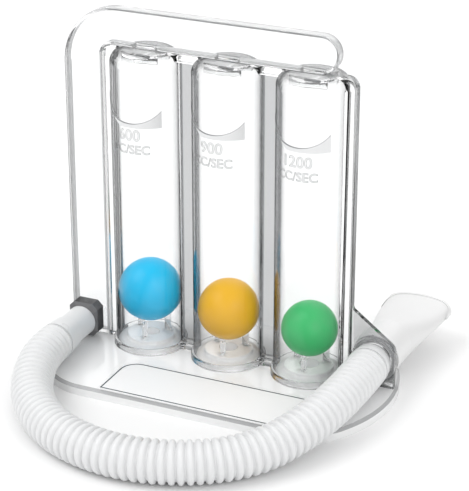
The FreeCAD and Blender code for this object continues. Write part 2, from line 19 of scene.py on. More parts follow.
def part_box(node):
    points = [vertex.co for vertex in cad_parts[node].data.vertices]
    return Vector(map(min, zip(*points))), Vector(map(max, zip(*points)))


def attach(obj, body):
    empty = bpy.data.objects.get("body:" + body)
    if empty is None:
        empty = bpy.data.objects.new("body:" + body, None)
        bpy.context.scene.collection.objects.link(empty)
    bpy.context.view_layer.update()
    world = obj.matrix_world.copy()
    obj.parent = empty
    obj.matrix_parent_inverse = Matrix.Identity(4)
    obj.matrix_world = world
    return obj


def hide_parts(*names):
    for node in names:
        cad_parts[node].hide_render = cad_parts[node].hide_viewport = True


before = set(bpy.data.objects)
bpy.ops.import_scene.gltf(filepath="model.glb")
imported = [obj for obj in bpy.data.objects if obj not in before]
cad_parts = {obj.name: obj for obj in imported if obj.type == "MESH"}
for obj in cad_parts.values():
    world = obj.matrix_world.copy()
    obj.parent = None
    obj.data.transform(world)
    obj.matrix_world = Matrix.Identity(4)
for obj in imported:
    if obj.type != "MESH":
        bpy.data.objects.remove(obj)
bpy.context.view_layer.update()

LOG = logging.getLogger("spirometer")
Colour = tuple[float, float, float]
Place = tuple[float, float, float]

# Corners of the hose's route, from the port round the front of the base to the holder.
HOSE_ROUTE: list[Place] = [
    (-0.0600, -0.0230, 0.01175),
    (-0.0600, -0.0345, 0.01175),
    (-0.0560, -0.0486, 0.0099),
    (-0.0492, -0.0612, 0.0085),
    (-0.0382, -0.0731, 0.0081),
    (-0.0246, -0.0815, 0.0081),
    (-0.0095, -0.0858, 0.0081),
    (0.0058, -0.0860, 0.0081),
    (0.0203, -0.0820, 0.0081),
    (0.0334, -0.0743, 0.0081),
    (0.0445, -0.0626, 0.0086),
    (0.0529, -0.0469, 0.0112),
    (0.0573, -0.0291, 0.0132),
    (0.0583, -0.0118, 0.0135),
    (0.0583, 0.0030, 0.0135),
]


class Body(Enum):
    """The moving bodies of the frame."""

    STAND = "stand"
    LEFT_BALL = "left_ball"
    MIDDLE_BALL = "middle_ball"
    RIGHT_BALL = "right_ball"
    MOUTHPIECE = "mouthpiece"


class Tube(Enum):
    """The three tubes, each named as its ball and seat are."""

    LEFT = "left"
    MIDDLE = "middle"
    RIGHT = "right"

    @property
    def ball_node(self) -> str:
        """The CAD node of the ball in this tube."""
        return f"{self.value}_ball"

    @property
    def seat_node(self) -> str:
        """The CAD node of the seat in this tube's foot."""
        return f"{self.value}_inlet_seat"

    def axis(self) -> tuple[float, float]:
        """Finds the tube's axis from its ball.

        Returns:
            The axis's x and y.
        """
        low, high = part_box(self.ball_node)
        return (low.x + high.x) / 2, (low.y + high.y) / 2


class ShaderTree:
    """A node tree with short ways to add nodes and join them."""

    def __init__(self, tree: bpy.types.NodeTree) -> None:
        """Starts from an empty tree.

        Args:
            tree: The material's or group's node tree, whose nodes are removed.
        """
        self.tree = tree
        tree.nodes.clear()

    def add(self, kind: str, **settings: object) -> bpy.types.Node:
        """Adds a node.

        Args:
            kind: The node's type name.
            settings: Properties to set on the node.

        Returns:
            The new node.
        """
        node = self.tree.nodes.new(kind)
        for name, value in settings.items():
            setattr(node, name, value)
        return node

    def join(self, source: bpy.types.NodeSocket, target: bpy.types.NodeSocket) -> None:
        """Links an output to an input."""
        self.tree.links.new(source, target)

    def group(self, tree: bpy.types.NodeTree, **values: float) -> bpy.types.Node:
        """Places a shared node group and sets its inputs.

        Args:
            tree: The group.
            values: Values of the group's inputs, with spaces as underscores.

        Returns:
            The group node.
        """
        node = self.add("ShaderNodeGroup", node_tree=tree)
        for name, value in values.items():
            node.inputs[name.replace("_", " ")].default_value = value
        return node

    def mix(self, factor: bpy.types.NodeSocket, low: Colour, high: Colour) -> bpy.types.NodeSocket:
        """Mixes two colours.

        Args:
            factor: The output that says how much of the second colour shows.
            low: The colour at 0.
            high: The colour at 1.

        Returns:
            The mixed colour's output.
        """
        node = self.add("ShaderNodeMix", data_type="RGBA")
        node.inputs[6].default_value = (*low, 1.0)
        node.inputs[7].default_value = (*high, 1.0)
        self.join(factor, node.inputs[0])
        return node.outputs[2]


class SharedEffects:
    """Node groups that several finishes use, each built once."""

    def __init__(self) -> None:
        """Builds the groups."""
        self.grain = self._moulded_grain()
        self.flow = self._mould_flow()

    @staticmethod
    def _start(name: str, inputs: dict[str, float], outputs: list[str]) -> ShaderTree:
        """Makes an empty group with named float sockets.

        Args:
            name: The group's name.
            inputs: Each input's name and default value.
            outputs: The outputs' names.

        Returns:
            The group's tree.
        """
        tree = bpy.data.node_groups.new(name, "ShaderNodeTree")
        shader = ShaderTree(tree)
        for label, value in inputs.items():
            socket = tree.interface.new_socket(label, in_out="INPUT", socket_type="NodeSocketFloat")
            socket.default_value = value
        for label in outputs:
            tree.interface.new_socket(label, in_out="OUTPUT", socket_type="NodeSocketFloat")
        return shader

    def _moulded_grain(self) -> bpy.types.NodeTree:
        """A fine surface grain with a slow mottle, as on moulded plastic.

        Returns:
            The group, with outputs Height and Mottle.
        """
        shader = self._start(
            "MouldedGrain", {"Grain Scale": 900.0, "Mottle Scale": 60.0}, ["Height", "Mottle"]
        )
        given = shader.add("NodeGroupInput")
        result = shader.add("NodeGroupOutput")
        place = shader.add("ShaderNodeTexCoord").outputs["Object"]
        grain = shader.add("ShaderNodeTexNoise")
        grain.inputs["Detail"].default_value = 3.0
        mottle = shader.add("ShaderNodeTexNoise")
        mottle.inputs["Detail"].default_value = 2.0
        for node, scale in ((grain, "Grain Scale"), (mottle, "Mottle Scale")):
            shader.join(place, node.inputs["Vector"])
            shader.join(given.outputs[scale], node.inputs["Scale"])
        shader.join(grain.outputs["Fac"], result.inputs["Height"])
        shader.join(mottle.outputs["Fac"], result.inputs["Mottle"])
        return shader.tree

    def _mould_flow(self) -> bpy.types.NodeTree:
        """Slow waves along the mould's draw, as in clear mouldings.

        Returns:
            The group, with outputs Height and Haze.
        """
        shader = self._start("MouldFlow", {"Wave Scale": 45.0, "Stretch": 0.25}, ["Height", "Haze"])
        given = shader.add("NodeGroupInput")
        result = shader.add("NodeGroupOutput")
        place = shader.add("ShaderNodeTexCoord").outputs["Object"]
        split = shader.add("ShaderNodeSeparateXYZ")
        shader.join(place, split.inputs[0])
        along = shader.add("ShaderNodeMath", operation="MULTIPLY")
        shader.join(split.outputs["Z"], along.inputs[0])
        shader.join(given.outputs["Stretch"], along.inputs[1])
        drawn = shader.add("ShaderNodeCombineXYZ")
        shader.join(split.outputs["X"], drawn.inputs["X"])
        shader.join(split.outputs["Y"], drawn.inputs["Y"])
        shader.join(along.outputs[0], drawn.inputs["Z"])
        wave = shader.add("ShaderNodeTexNoise")
        wave.inputs["Detail"].default_value = 1.0
        shader.join(drawn.outputs[0], wave.inputs["Vector"])
        shader.join(given.outputs["Wave Scale"], wave.inputs["Scale"])
        shader.join(wave.outputs["Fac"], result.inputs["Height"])
        shader.join(wave.outputs["Fac"], result.inputs["Haze"])
        return shader.tree


@dataclass(frozen=True)
class ClearPlastic:
    """Clear polished styrene, with painted shade where it is seen edge on."""

    name: str
    face: Colour = (0.985, 0.988, 0.99)
    # The colour of the painted shade where a wall is seen edge on.
    edge_shade: Colour = (0.40, 0.41, 0.42)
    web_shade: Colour = (0.86, 0.865, 0.87)
    seam_depth: float = 0.007
    seam_reach: float = 0.0
    edge_from: float = 0.55
    edge_to: float = 1.0
    edge_power: float = 1.6
    ior: float = 1.45
    clearness: float = 1.0
    roughness: float = 0.01
    haze: float = 0.02
    wave_height: float = 0.000003
    shadow: Colour = (0.988, 0.989, 0.99)

    def build(self, effects: SharedEffects) -> bpy.types.Material:
        """Builds the material.

        Args:
            effects: The shared node groups.

        Returns:
            The material.
        """
        material = bpy.data.materials.new(self.name)
        material.use_nodes = True
        shader = ShaderTree(material.node_tree)
        output = shader.add("ShaderNodeOutputMaterial")
        plastic = shader.add("ShaderNodeBsdfPrincipled")
        plastic.inputs["Transmission Weight"].default_value = self.clearness
        plastic.inputs["IOR"].default_value = self.ior
        # Painted shade: the base colour darkens from face to edge_shade where a wall is seen edge
        # on, in place of dark refraction at its edges.
        facing = shader.add("ShaderNodeLayerWeight")
        facing.inputs["Blend"].default_value = 0.5
        rim_shade = shader.add("ShaderNodeMapRange")
        rim_shade.inputs["From Min"].default_value = self.edge_from
        rim_shade.inputs["From Max"].default_value = self.edge_to
        shader.join(facing.outputs["Facing"], rim_shade.inputs["Value"])
        sharp = shader.add("ShaderNodeMath", operation="POWER")
        sharp.inputs[1].default_value = self.edge_power
        shader.join(rim_shade.outputs["Result"], sharp.inputs[0])
        tint = shader.mix(sharp.outputs[0], self.face, self.edge_shade)
        # Painted shade over the flat webs and flange.
        if self.seam_reach:
            tint = self._paint_web_shade(shader, tint)
        shader.join(tint, plastic.inputs["Base Color"])
        flow = shader.group(effects.flow)
        haze = shader.add("ShaderNodeMapRange")
        haze.inputs["To Min"].default_value = self.roughness
        haze.inputs["To Max"].default_value = self.roughness + self.haze
        shader.join(flow.outputs["Haze"], haze.inputs["Value"])
        shader.join(haze.outputs["Result"], plastic.inputs["Roughness"])
        bump = shader.add("ShaderNodeBump")
        bump.inputs["Distance"].default_value = self.wave_height
        shader.join(flow.outputs["Height"], bump.inputs["Height"])
        shader.join(bump.outputs["Normal"], plastic.inputs["Normal"])
        passed = shader.add("ShaderNodeBsdfTransparent")
        passed.inputs["Color"].default_value = (*self.shadow, 1.0)
        rays = shader.add("ShaderNodeLightPath")
        choice = shader.add("ShaderNodeMixShader")
        shader.join(rays.outputs["Is Shadow Ray"], choice.inputs[0])
        shader.join(plastic.outputs[0], choice.inputs[1])
        shader.join(passed.outputs[0], choice.inputs[2])
        shader.join(choice.outputs[0], output.inputs["Surface"])
        return material

    def _paint_web_shade(self, shader: ShaderTree, tint: bpy.types.NodeSocket) -> bpy.types.NodeSocket:
        """Paints shade over the flat webs and flange near the plane where the two shells are bonded.

        Args:
            shader: The material's tree.
            tint: The colour so far.

        Returns:
            The colour with the painted web shade in it.
        """
        split = shader.add("ShaderNodeSeparateXYZ")
        shader.join(shader.add("ShaderNodeTexCoord").outputs["Object"], split.inputs[0])
        near = shader.add("ShaderNodeMath", operation="COMPARE")
        near.inputs[1].default_value = self.seam_depth
        near.inputs[2].default_value = self.seam_reach
        shader.join(split.outputs["Y"], near.inputs[0])
        blend = shader.add("ShaderNodeMix", data_type="RGBA", blend_type="MULTIPLY")
        blend.inputs[7].default_value = (*self.web_shade, 1.0)
        shader.join(near.outputs[0], blend.inputs[0])
        shader.join(tint, blend.inputs[6])
        return blend.outputs[2]


@dataclass(frozen=True)
class MouldedPlastic:
    """Solid coloured plastic with mould grain, a slow mottle and some depth to its colour."""

    name: str
    colour: Colour
    shade: Colour
    roughness: float = 0.35
    roughness_spread: float = 0.08
    grain_scale: float = 900.0
    grain_height: float = 0.00001
    mottle_scale: float = 60.0
    depth: float = 0.0
    depth_reach: Colour = (0.002, 0.002, 0.002)
    coat: float = 0.0
    clearness: float = 0.0
    specular: float = 0.5

    def build(self, effects: SharedEffects) -> bpy.types.Material:
        """Builds the material.

        Args:
            effects: The shared node groups.

        Returns:
            The material.
        """
        material = bpy.data.materials.new(self.name)
        material.use_nodes = True
        shader = ShaderTree(material.node_tree)
        output = shader.add("ShaderNodeOutputMaterial")
        plastic = shader.add("ShaderNodeBsdfPrincipled")
        plastic.inputs["Subsurface Weight"].default_value = self.depth
        plastic.inputs["Subsurface Radius"].default_value = self.depth_reach
        plastic.inputs["Subsurface Scale"].default_value = 1.0
        plastic.inputs["Coat Weight"].default_value = self.coat
        plastic.inputs["Coat Roughness"].default_value = 0.12
        plastic.inputs["Transmission Weight"].default_value = self.clearness
        plastic.inputs["Specular IOR Level"].default_value = self.specular
        grain = shader.group(
            effects.grain, Grain_Scale=self.grain_scale, Mottle_Scale=self.mottle_scale
        )
        mottle = grain.outputs["Mottle"]
        shader.join(shader.mix(mottle, self.colour, self.shade), plastic.inputs["Base Color"])
        rough = shader.add("ShaderNodeMapRange")
        rough.inputs["To Min"].default_value = self.roughness
        rough.inputs["To Max"].default_value = self.roughness + self.roughness_spread
        shader.join(mottle, rough.inputs["Value"])
        shader.join(rough.outputs["Result"], plastic.inputs["Roughness"])
        bump = shader.add("ShaderNodeBump")
        bump.inputs["Distance"].default_value = self.grain_height
        shader.join(grain.outputs["Height"], bump.inputs["Height"])
        shader.join(bump.outputs["Normal"], plastic.inputs["Normal"])
        shader.join(plastic.outputs[0], output.inputs["Surface"])
        return material


def new_piece(name: str, mesh: bpy.types.Mesh, material: bpy.types.Material) -> bpy.types.Object:
    """Links a finished mesh as a piece at the origin.

    Args:
        name: The piece's name.
        mesh: Its mesh, in place.
        material: Its finish.

    Returns:
        The new object.
    """
    piece = bpy.data.objects.new(name, mesh)
    bpy.context.scene.collection.objects.link(piece)
    mesh.materials.clear()
    mesh.materials.append(material)
    return piece


def mesh_from(name: str, shape: bmesh.types.BMesh, smooth: bool) -> bpy.types.Mesh:
    """Turns a bmesh into a mesh and frees it.

    Args:
        name: The mesh's name.
        shape: The bmesh.
        smooth: Whether its faces shade smoothly.

    Returns:
        The mesh.
    """
    for face in shape.faces:
        face.smooth = smooth
    mesh = bpy.data.meshes.new(name)
    shape.to_mesh(mesh)
    shape.free()
    return mesh


def dress(node: str, material: bpy.types.Material) -> bpy.types.Object:
    """Gives a carried-over CAD node its finish.

    Args:
        node: The node's name.
        material: Its finish.

    Returns:
        The node's object.
    """
    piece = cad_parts[node]
    piece.data.materials.clear()
    piece.data.materials.append(material)
    LOG.info("dressed %s in %s", node, material.name)
    return piece


@dataclass
class ClearHousing:
    """The clear mouldings: the bonded body, the bonded duct, the base and the seats."""

    effects: SharedEffects
    tube_axes: list[tuple[float, float]]
    flange_left: float
    flange_right: float
    seam_gap: float = 0.000015
    crease: float = 24.0
    body_top: float = 0.1245
    notch_right: float = 0.0031
    notch_forward: float = 0.0088
    notch_half: Place = (0.00287, 0.00092, 0.00083)
    boss_top: float = 0.00795
    rim_slope: float = 0.6
    left_margin: float = 0.0039
    bevel_slope: tuple[float, float] = (0.25, 0.92)

    def build(self) -> None:
        """Builds the bonded mouldings from their halves and dresses them all."""
        body = ClearPlastic(
            "clear_body_plastic",
            edge_shade=(0.04, 0.042, 0.045),
            edge_from=0.32,
            edge_to=0.76,
            edge_power=1.2,
            web_shade=(0.58, 0.585, 0.59),
            seam_reach=0.0014,
            ior=1.32,
        ).build(self.effects)
        # Painted shade: the hose holder's part of the body is tinted grey, darker at its edges.
        holder = ClearPlastic(
            "clear_holder_painted_shade", face=(0.62, 0.625, 0.63), edge_shade=(0.20, 0.205, 0.21), edge_from=0.4
        ).build(self.effects)
        # Painted shade: the narrow left side of the flange is made nearly black.
        side = ClearPlastic(
            "body_side_painted_shade", face=(0.16, 0.163, 0.167), edge_shade=(0.12, 0.123, 0.127), clearness=0.7
        ).build(self.effects)
        # Painted shade: the duct's narrow sides are tinted grey.
        rim_shade = ClearPlastic(
            "duct_rim_painted_shade",
            face=(0.76, 0.765, 0.77),
            edge_shade=(0.50, 0.505, 0.51),
            clearness=0.45,
            roughness=0.08,
        ).build(self.effects)
        # Painted shade: the base's bevelled edge is tinted grey.
        bevel_light_and_shade = ClearPlastic(
            "base_bevel_painted_shade", face=(0.60, 0.605, 0.61), edge_shade=(0.25, 0.255, 0.26), clearness=0.5
        ).build(self.effects)
        duct = ClearPlastic(
            "clear_duct_plastic",
            edge_shade=(0.30, 0.305, 0.31),
            edge_from=0.45,
            edge_to=0.90,
            edge_power=1.0,
            ior=1.32,
        ).build(self.effects)
        base = ClearPlastic(
            "clear_base_plastic",
            edge_shade=(0.45, 0.455, 0.46),
            edge_from=0.72,
            clearness=0.30,
            roughness=0.05,
            shadow=(0.985, 0.986, 0.988),
        ).build(self.effects)
        post = ClearPlastic("clear_post_plastic", edge_shade=(0.60, 0.61, 0.62)).build(self.effects)
        boss = ClearPlastic(
            "milky_seat_plastic",
            edge_shade=(0.40, 0.41, 0.42),
            edge_from=0.70,
            clearness=0.40,
            roughness=0.08,
        ).build(self.effects)
        # Painted shade: the small notches in the tubes' roofs are made nearly black.
        slot = ClearPlastic(
            "notch_painted_shade", face=(0.07, 0.072, 0.075), edge_shade=(0.05, 0.052, 0.055)
        ).build(self.effects)
        self._moulding(
            "bonded_body",
            ("front_shell", "rear_shell"),
            body,
            ((slot, self._in_notch), (holder, self._in_holder), (side, self._on_left_side)),
        )
        self._moulding("bonded_duct", ("front_duct", "rear_duct"), duct, ((rim_shade, self._on_rim),))
        self._moulding("base_tray", ("base_plate",), base, ((bevel_light_and_shade, self._on_bevel),))
        for tube in Tube:
            self._moulding(
                f"{tube.value}_ball_seat", (tube.seat_node,), boss, ((post, self._in_post),)
            )

    def _in_notch(self, face: bpy.types.MeshPolygon) -> bool:
        """Says whether a face lies in one of the small notches in the tubes' roofs.

        Args:
            face: The face.

        Returns:
            Whether it is a wall or the floor of a notch.
        """
        middle = face.center
        across, ahead, deep = self.notch_half
        if abs(middle.z - self.body_top) > deep:
            return False
        for x, y in self.tube_axes:
            aside = abs(middle.x - x - self.notch_right)
            away = abs(middle.y - y + self.notch_forward)
            if aside < across and away < ahead:
                return True
        return False

    def _in_post(self, face: bpy.types.MeshPolygon) -> bool:
        """Says whether a face of a seat belongs to the posts on top of its boss.

        Args:
            face: The face.

        Returns:
            Whether it lies over the boss.
        """
        return face.center.z > self.boss_top

    def _in_holder(self, face: bpy.types.MeshPolygon) -> bool:
        """Says whether a face of the body belongs to the hose holder beside the flange.

        Args:
            face: The face.

        Returns:
            Whether it lies to the right of the flange.
        """
        return face.center.x > self.flange_right

    def _on_left_side(self, face: bpy.types.MeshPolygon) -> bool:
        """Says whether a face is on the narrow left side of the body's flange.

        Args:
            face: The face.

        Returns:
            Whether it lies in the left margin and faces along the flange's plane.
        """
        in_margin = face.center.x < self.flange_left + self.left_margin
        return in_margin and abs(face.normal.y) < self.rim_slope

    def _on_rim(self, face: bpy.types.MeshPolygon) -> bool:
        """Says whether a face of the duct is on its narrow sides.

        Args:
            face: The face.

        Returns:
            Whether it faces along the duct's plane.
        """
        return abs(face.normal.y) < self.rim_slope

    def _on_bevel(self, face: bpy.types.MeshPolygon) -> bool:
        """Says whether a face of the base is on its bevelled edge.

        Args:
            face: The face.

        Returns:
            Whether it slopes between the top and the skirt.
        """
        low, high = self.bevel_slope
        return low < face.normal.z < high

    def _moulding(
        self,
        name: str,
        nodes: tuple[str, ...],
        finish: bpy.types.Material,
        others: tuple[tuple[bpy.types.Material, Callable[[bpy.types.MeshPolygon], bool]], ...],
    ) -> None:
        """Joins nodes into one clear moulding, so that no light is lost at a bonded seam.

        Args:
            name: The piece's name.
            nodes: The CAD nodes that it stands for.
            finish: Its main material.
            others: More materials, each with a test that says which faces take it.
        """
        parts = [self._closed_copy(node) for node in nodes]
        for other in parts[1:]:
            union = parts[0].modifiers.new("bond", "BOOLEAN")
            union.operation = "UNION"
            union.solver = "EXACT"
            union.object = other
        view = bpy.context.evaluated_depsgraph_get()
        shape = bmesh.new()
        shape.from_mesh(bpy.data.meshes.new_from_object(parts[0].evaluated_get(view)))
        for part in parts:
            bpy.data.objects.remove(part)
        bmesh.ops.remove_doubles(shape, verts=shape.verts[:], dist=1e-6)
        bmesh.ops.recalc_face_normals(shape, faces=shape.faces[:])
        shape.normal_update()
        for vertex in shape.verts:
            vertex.co -= vertex.normal * self.seam_gap
        mesh = mesh_from(name, shape, smooth=True)
        mesh.set_sharp_from_angle(angle=math.radians(self.crease))
        piece = new_piece(name, mesh, finish)
        for slot, (other, takes) in enumerate(others, start=1):
            mesh.materials.append(other)
            for face in mesh.polygons:
                if takes(face):
                    face.material_index = slot
        level = piece.modifiers.new("flat_faces", "WEIGHTED_NORMAL")
        level.keep_sharp = True
        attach(piece, Body.STAND.value)
        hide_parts(*nodes)
        LOG.info("made %s with %d faces", name, len(mesh.polygons))

    @staticmethod
    def _closed_copy(node: str) -> bpy.types.Object:
        """Copies a node's loose triangles into one closed mesh.

        Args:
            node: The node's name.

        Returns:
            A scratch object that holds the copy.
        """
        shape = bmesh.new()
        shape.from_mesh(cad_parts[node].data)
        bmesh.ops.remove_doubles(shape, verts=shape.verts[:], dist=1e-7)
        holder = bpy.data.objects.new("scratch", mesh_from("scratch", shape, smooth=True))
        bpy.context.scene.collection.objects.link(holder)
        return holder


@dataclass
class FlowMarks:
    """The raised flow figures and curved strokes on the tubes' fronts."""

    effects: SharedEffects
    tube_radius: float = 0.0137
    thickness: float = 0.00012
    figure_height: float = 0.0944
    unit_height: float = 0.0888
    figure_size: float = 0.0061
    unit_size: float = 0.0049
    text_left: float = 0.0008
    outline: float = 0.00009
    stroke_height: float = 0.0998
    stroke_radius: float = 0.0170
    stroke_line: float = 0.0006
    left_share: float = 0.8
    fill_depth: float = 0.0018
    fill_from: float = -34.0
    fill_full: float = -18.0
    stroke_from: float = -66.0
    stroke_to: float = 50.0
    steps: int = 29

    def build(self) -> None:
        """Builds the marks of each tube."""
        ink, pale = (
            MouldedPlastic(name, colour, colour, roughness=0.5).build(self.effects)
            for name, colour in (
                ("flow_mark_print", (0.26, 0.265, 0.27)),
                ("flow_fill_print", (0.70, 0.705, 0.71)),
            )
        )
        for tube, figure, lift in (
            (Tube.LEFT, "600", -0.0005),
            (Tube.MIDDLE, "900", 0.0001),
            (Tube.RIGHT, "1200", 0.0004),
        ):
            height = self.stroke_height + lift
            for name, mesh, finish in (
                ("flow_figure", self._text(figure, self.figure_size, self.figure_height), ink),
                ("flow_unit", self._text("CC/SEC", self.unit_size, self.unit_height), ink),
                ("flow_line", self._stroke(height, self.stroke_from, False), ink),
                ("flow_fill", self._stroke(height, self.fill_from, True), pale),
            ):
                self._wrap(mesh, tube.axis())
                piece = new_piece(f"{name}_{tube.value}", mesh, finish)
                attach(piece, Body.STAND.value)
                LOG.info("made %s", piece.name)

    def _text(self, words: str, size: float, height: float) -> bpy.types.Mesh:
        """Makes flat lettering, centred on x, with its middle at a height.

        Args:
            words: The lettering.
            size: The type's size.
            height: The height of its middle.

        Returns:
            Its mesh, with x along the tube's girth, y up it and z out of it.
        """
        curve = bpy.data.curves.new("lettering", "FONT")
        curve.body = words
        curve.size = size
        curve.align_x = "CENTER"
        curve.align_y = "CENTER"
        curve.fill_mode = "NONE"
        curve.bevel_depth = self.outline
        curve.bevel_resolution = 1
        curve.resolution_u = 4
        holder = bpy.data.objects.new("lettering", curve)
        bpy.context.scene.collection.objects.link(holder)
        view = bpy.context.evaluated_depsgraph_get()
        mesh = bpy.data.meshes.new_from_object(holder.evaluated_get(view))
        bpy.data.objects.remove(holder)
        bpy.data.curves.remove(curve)
        mesh.transform(Matrix.Translation((-self.text_left, height, 0.0)))
        return mesh

    def _line_drop(self, angle: float) -> float:
        """The thickness of the stroke's thin line, which thins out along the fill.

        Args:
            angle: The place round the tube, in degrees.

        Returns:
            How far the line reaches down from the curve.
        """
        return self.stroke_line * min(1.0, max(0.25, 0.6 - angle / 60.0))

    def _fill_drop(self, angle: float, rise: float) -> float:
        """The depth of the pale fill under the curve, level along its foot.

        Args:
            angle: The place round the tube, in degrees.
            rise: How high the curve is there over its lowest place.

        Returns:
            How far the fill reaches down from the curve.
        """
        share = (angle - self.fill_from) / (self.fill_full - self.fill_from)
        full = rise + self.fill_depth
        return self.stroke_line + (full - self.stroke_line) * min(1.0, share)

    def _stroke(self, height: float, first: float, filled: bool) -> bpy.types.Mesh:
        """Makes one part of the curved stroke: the thin line or the fill under it.

        Args:
            height: The height of the curve's lowest place.
            first: The angle at its left end, in degrees.
            filled: Whether it is the fill, and not the line.

        Returns:
            Its mesh, laid flat as the lettering is.
        """
        shape = bmesh.new()
        upper = []
        lower = []
        for step in range(self.steps + 1):
            angle = first + (self.stroke_to - first) * step / self.steps
            x = math.radians(angle) * self.tube_radius
            rise = self.stroke_radius - math.sqrt(self.stroke_radius**2 - x**2)
            if x < 0:
                rise *= self.left_share
            curve = height + rise
            under_line = curve - self._line_drop(angle)
            top, foot = curve, under_line
            if filled:
                top, foot = under_line, min(under_line, curve - self._fill_drop(angle, rise))
            upper.append(shape.verts.new((x, top, -self.thickness / 2)))
            lower.append(shape.verts.new((x, foot, -self.thickness / 2)))
        edges = [shape.edges.new(pair) for row in (upper, lower) for pair in zip(row, row[1:])]
        bmesh.ops.bridge_loops(shape, edges=edges)
        walls = bmesh.ops.extrude_face_region(shape, geom=shape.faces[:])
        lifted = [item for item in walls["geom"] if isinstance(item, bmesh.types.BMVert)]
        bmesh.ops.translate(shape, verts=lifted, vec=(0.0, 0.0, self.thickness))
        bmesh.ops.recalc_face_normals(shape, faces=shape.faces[:])
        return mesh_from("flow_stroke", shape, smooth=False)

    def _wrap(self, mesh: bpy.types.Mesh, axis: tuple[float, float]) -> None:
        """Bends flat marks round the front of a tube.

        Args:
            mesh: The flat mesh, with x along the girth, y up and z out.
            axis: The tube's axis.
        """
        for vertex in mesh.vertices:
            girth, height, out = vertex.co
            angle = girth / self.tube_radius
            reach = self.tube_radius + self.thickness / 2 + out
            vertex.co = (
                axis[0] + reach * math.sin(angle),
                axis[1] - reach * math.cos(angle),
                height,
            )


@dataclass
class Balls:
    """The three balls, each a thin moulding with a faint parting line."""

    effects: SharedEffects
    segments: int = 96
    rings: int = 64
    seam_height: float = 0.00005
    seam_half_angle: float = 1.6
    lean: float = 24.0

    def build(self) -> None:
        """Builds each ball in place of its CAD node."""
        colours = {
            Tube.LEFT: ((0.018, 0.61, 0.98), (0.015, 0.57, 0.95)),
            Tube.MIDDLE: ((0.96, 0.54, 0.025), (0.93, 0.50, 0.020)),
            Tube.RIGHT: ((0.055, 0.57, 0.18), (0.045, 0.52, 0.16)),
        }
        for tube, (colour, shade) in colours.items():
            finish = MouldedPlastic(
                f"{tube.value}_ball_plastic",
                colour,
                shade,
                roughness=0.30,
                depth=0.12,
                specular=0.25,
                mottle_scale=90.0,
            ).build(self.effects)
            low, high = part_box(tube.ball_node)
            mesh = self._ball((low + high) / 2, (high.z - low.z) / 2)
            piece = new_piece(f"{tube.value}_float_ball", mesh, finish)
            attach(piece, tube.ball_node)
            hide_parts(tube.ball_node)
            LOG.info("made %s", piece.name)

    def _ball(self, centre: Vector, radius: float) -> bpy.types.Mesh:
        """Makes a ball with a parting line that leans.

        Args:
            centre: Its middle.
            radius: Its radius.

        Returns:
            The mesh, in place.
        """
        shape = bmesh.new()
        bmesh.ops.create_uvsphere(
            shape, u_segments=self.segments, v_segments=self.rings, radius=radius - self.seam_height
        )
        for vertex in shape.verts:
            slope = math.degrees(math.asin(max(-1.0, min(1.0, vertex.co.normalized().z))))
            swell = math.exp(-((slope / self.seam_half_angle) ** 2))
            vertex.co *= 1.0 + swell * self.seam_height / radius
        turn = Matrix.Rotation(math.radians(self.lean), 3, "Y")
        bmesh.ops.transform(shape, matrix=turn.to_4x4(), verts=shape.verts[:])
        bmesh.ops.translate(shape, verts=shape.verts[:], vec=centre)
        return mesh_from("float_ball", shape, smooth=True)


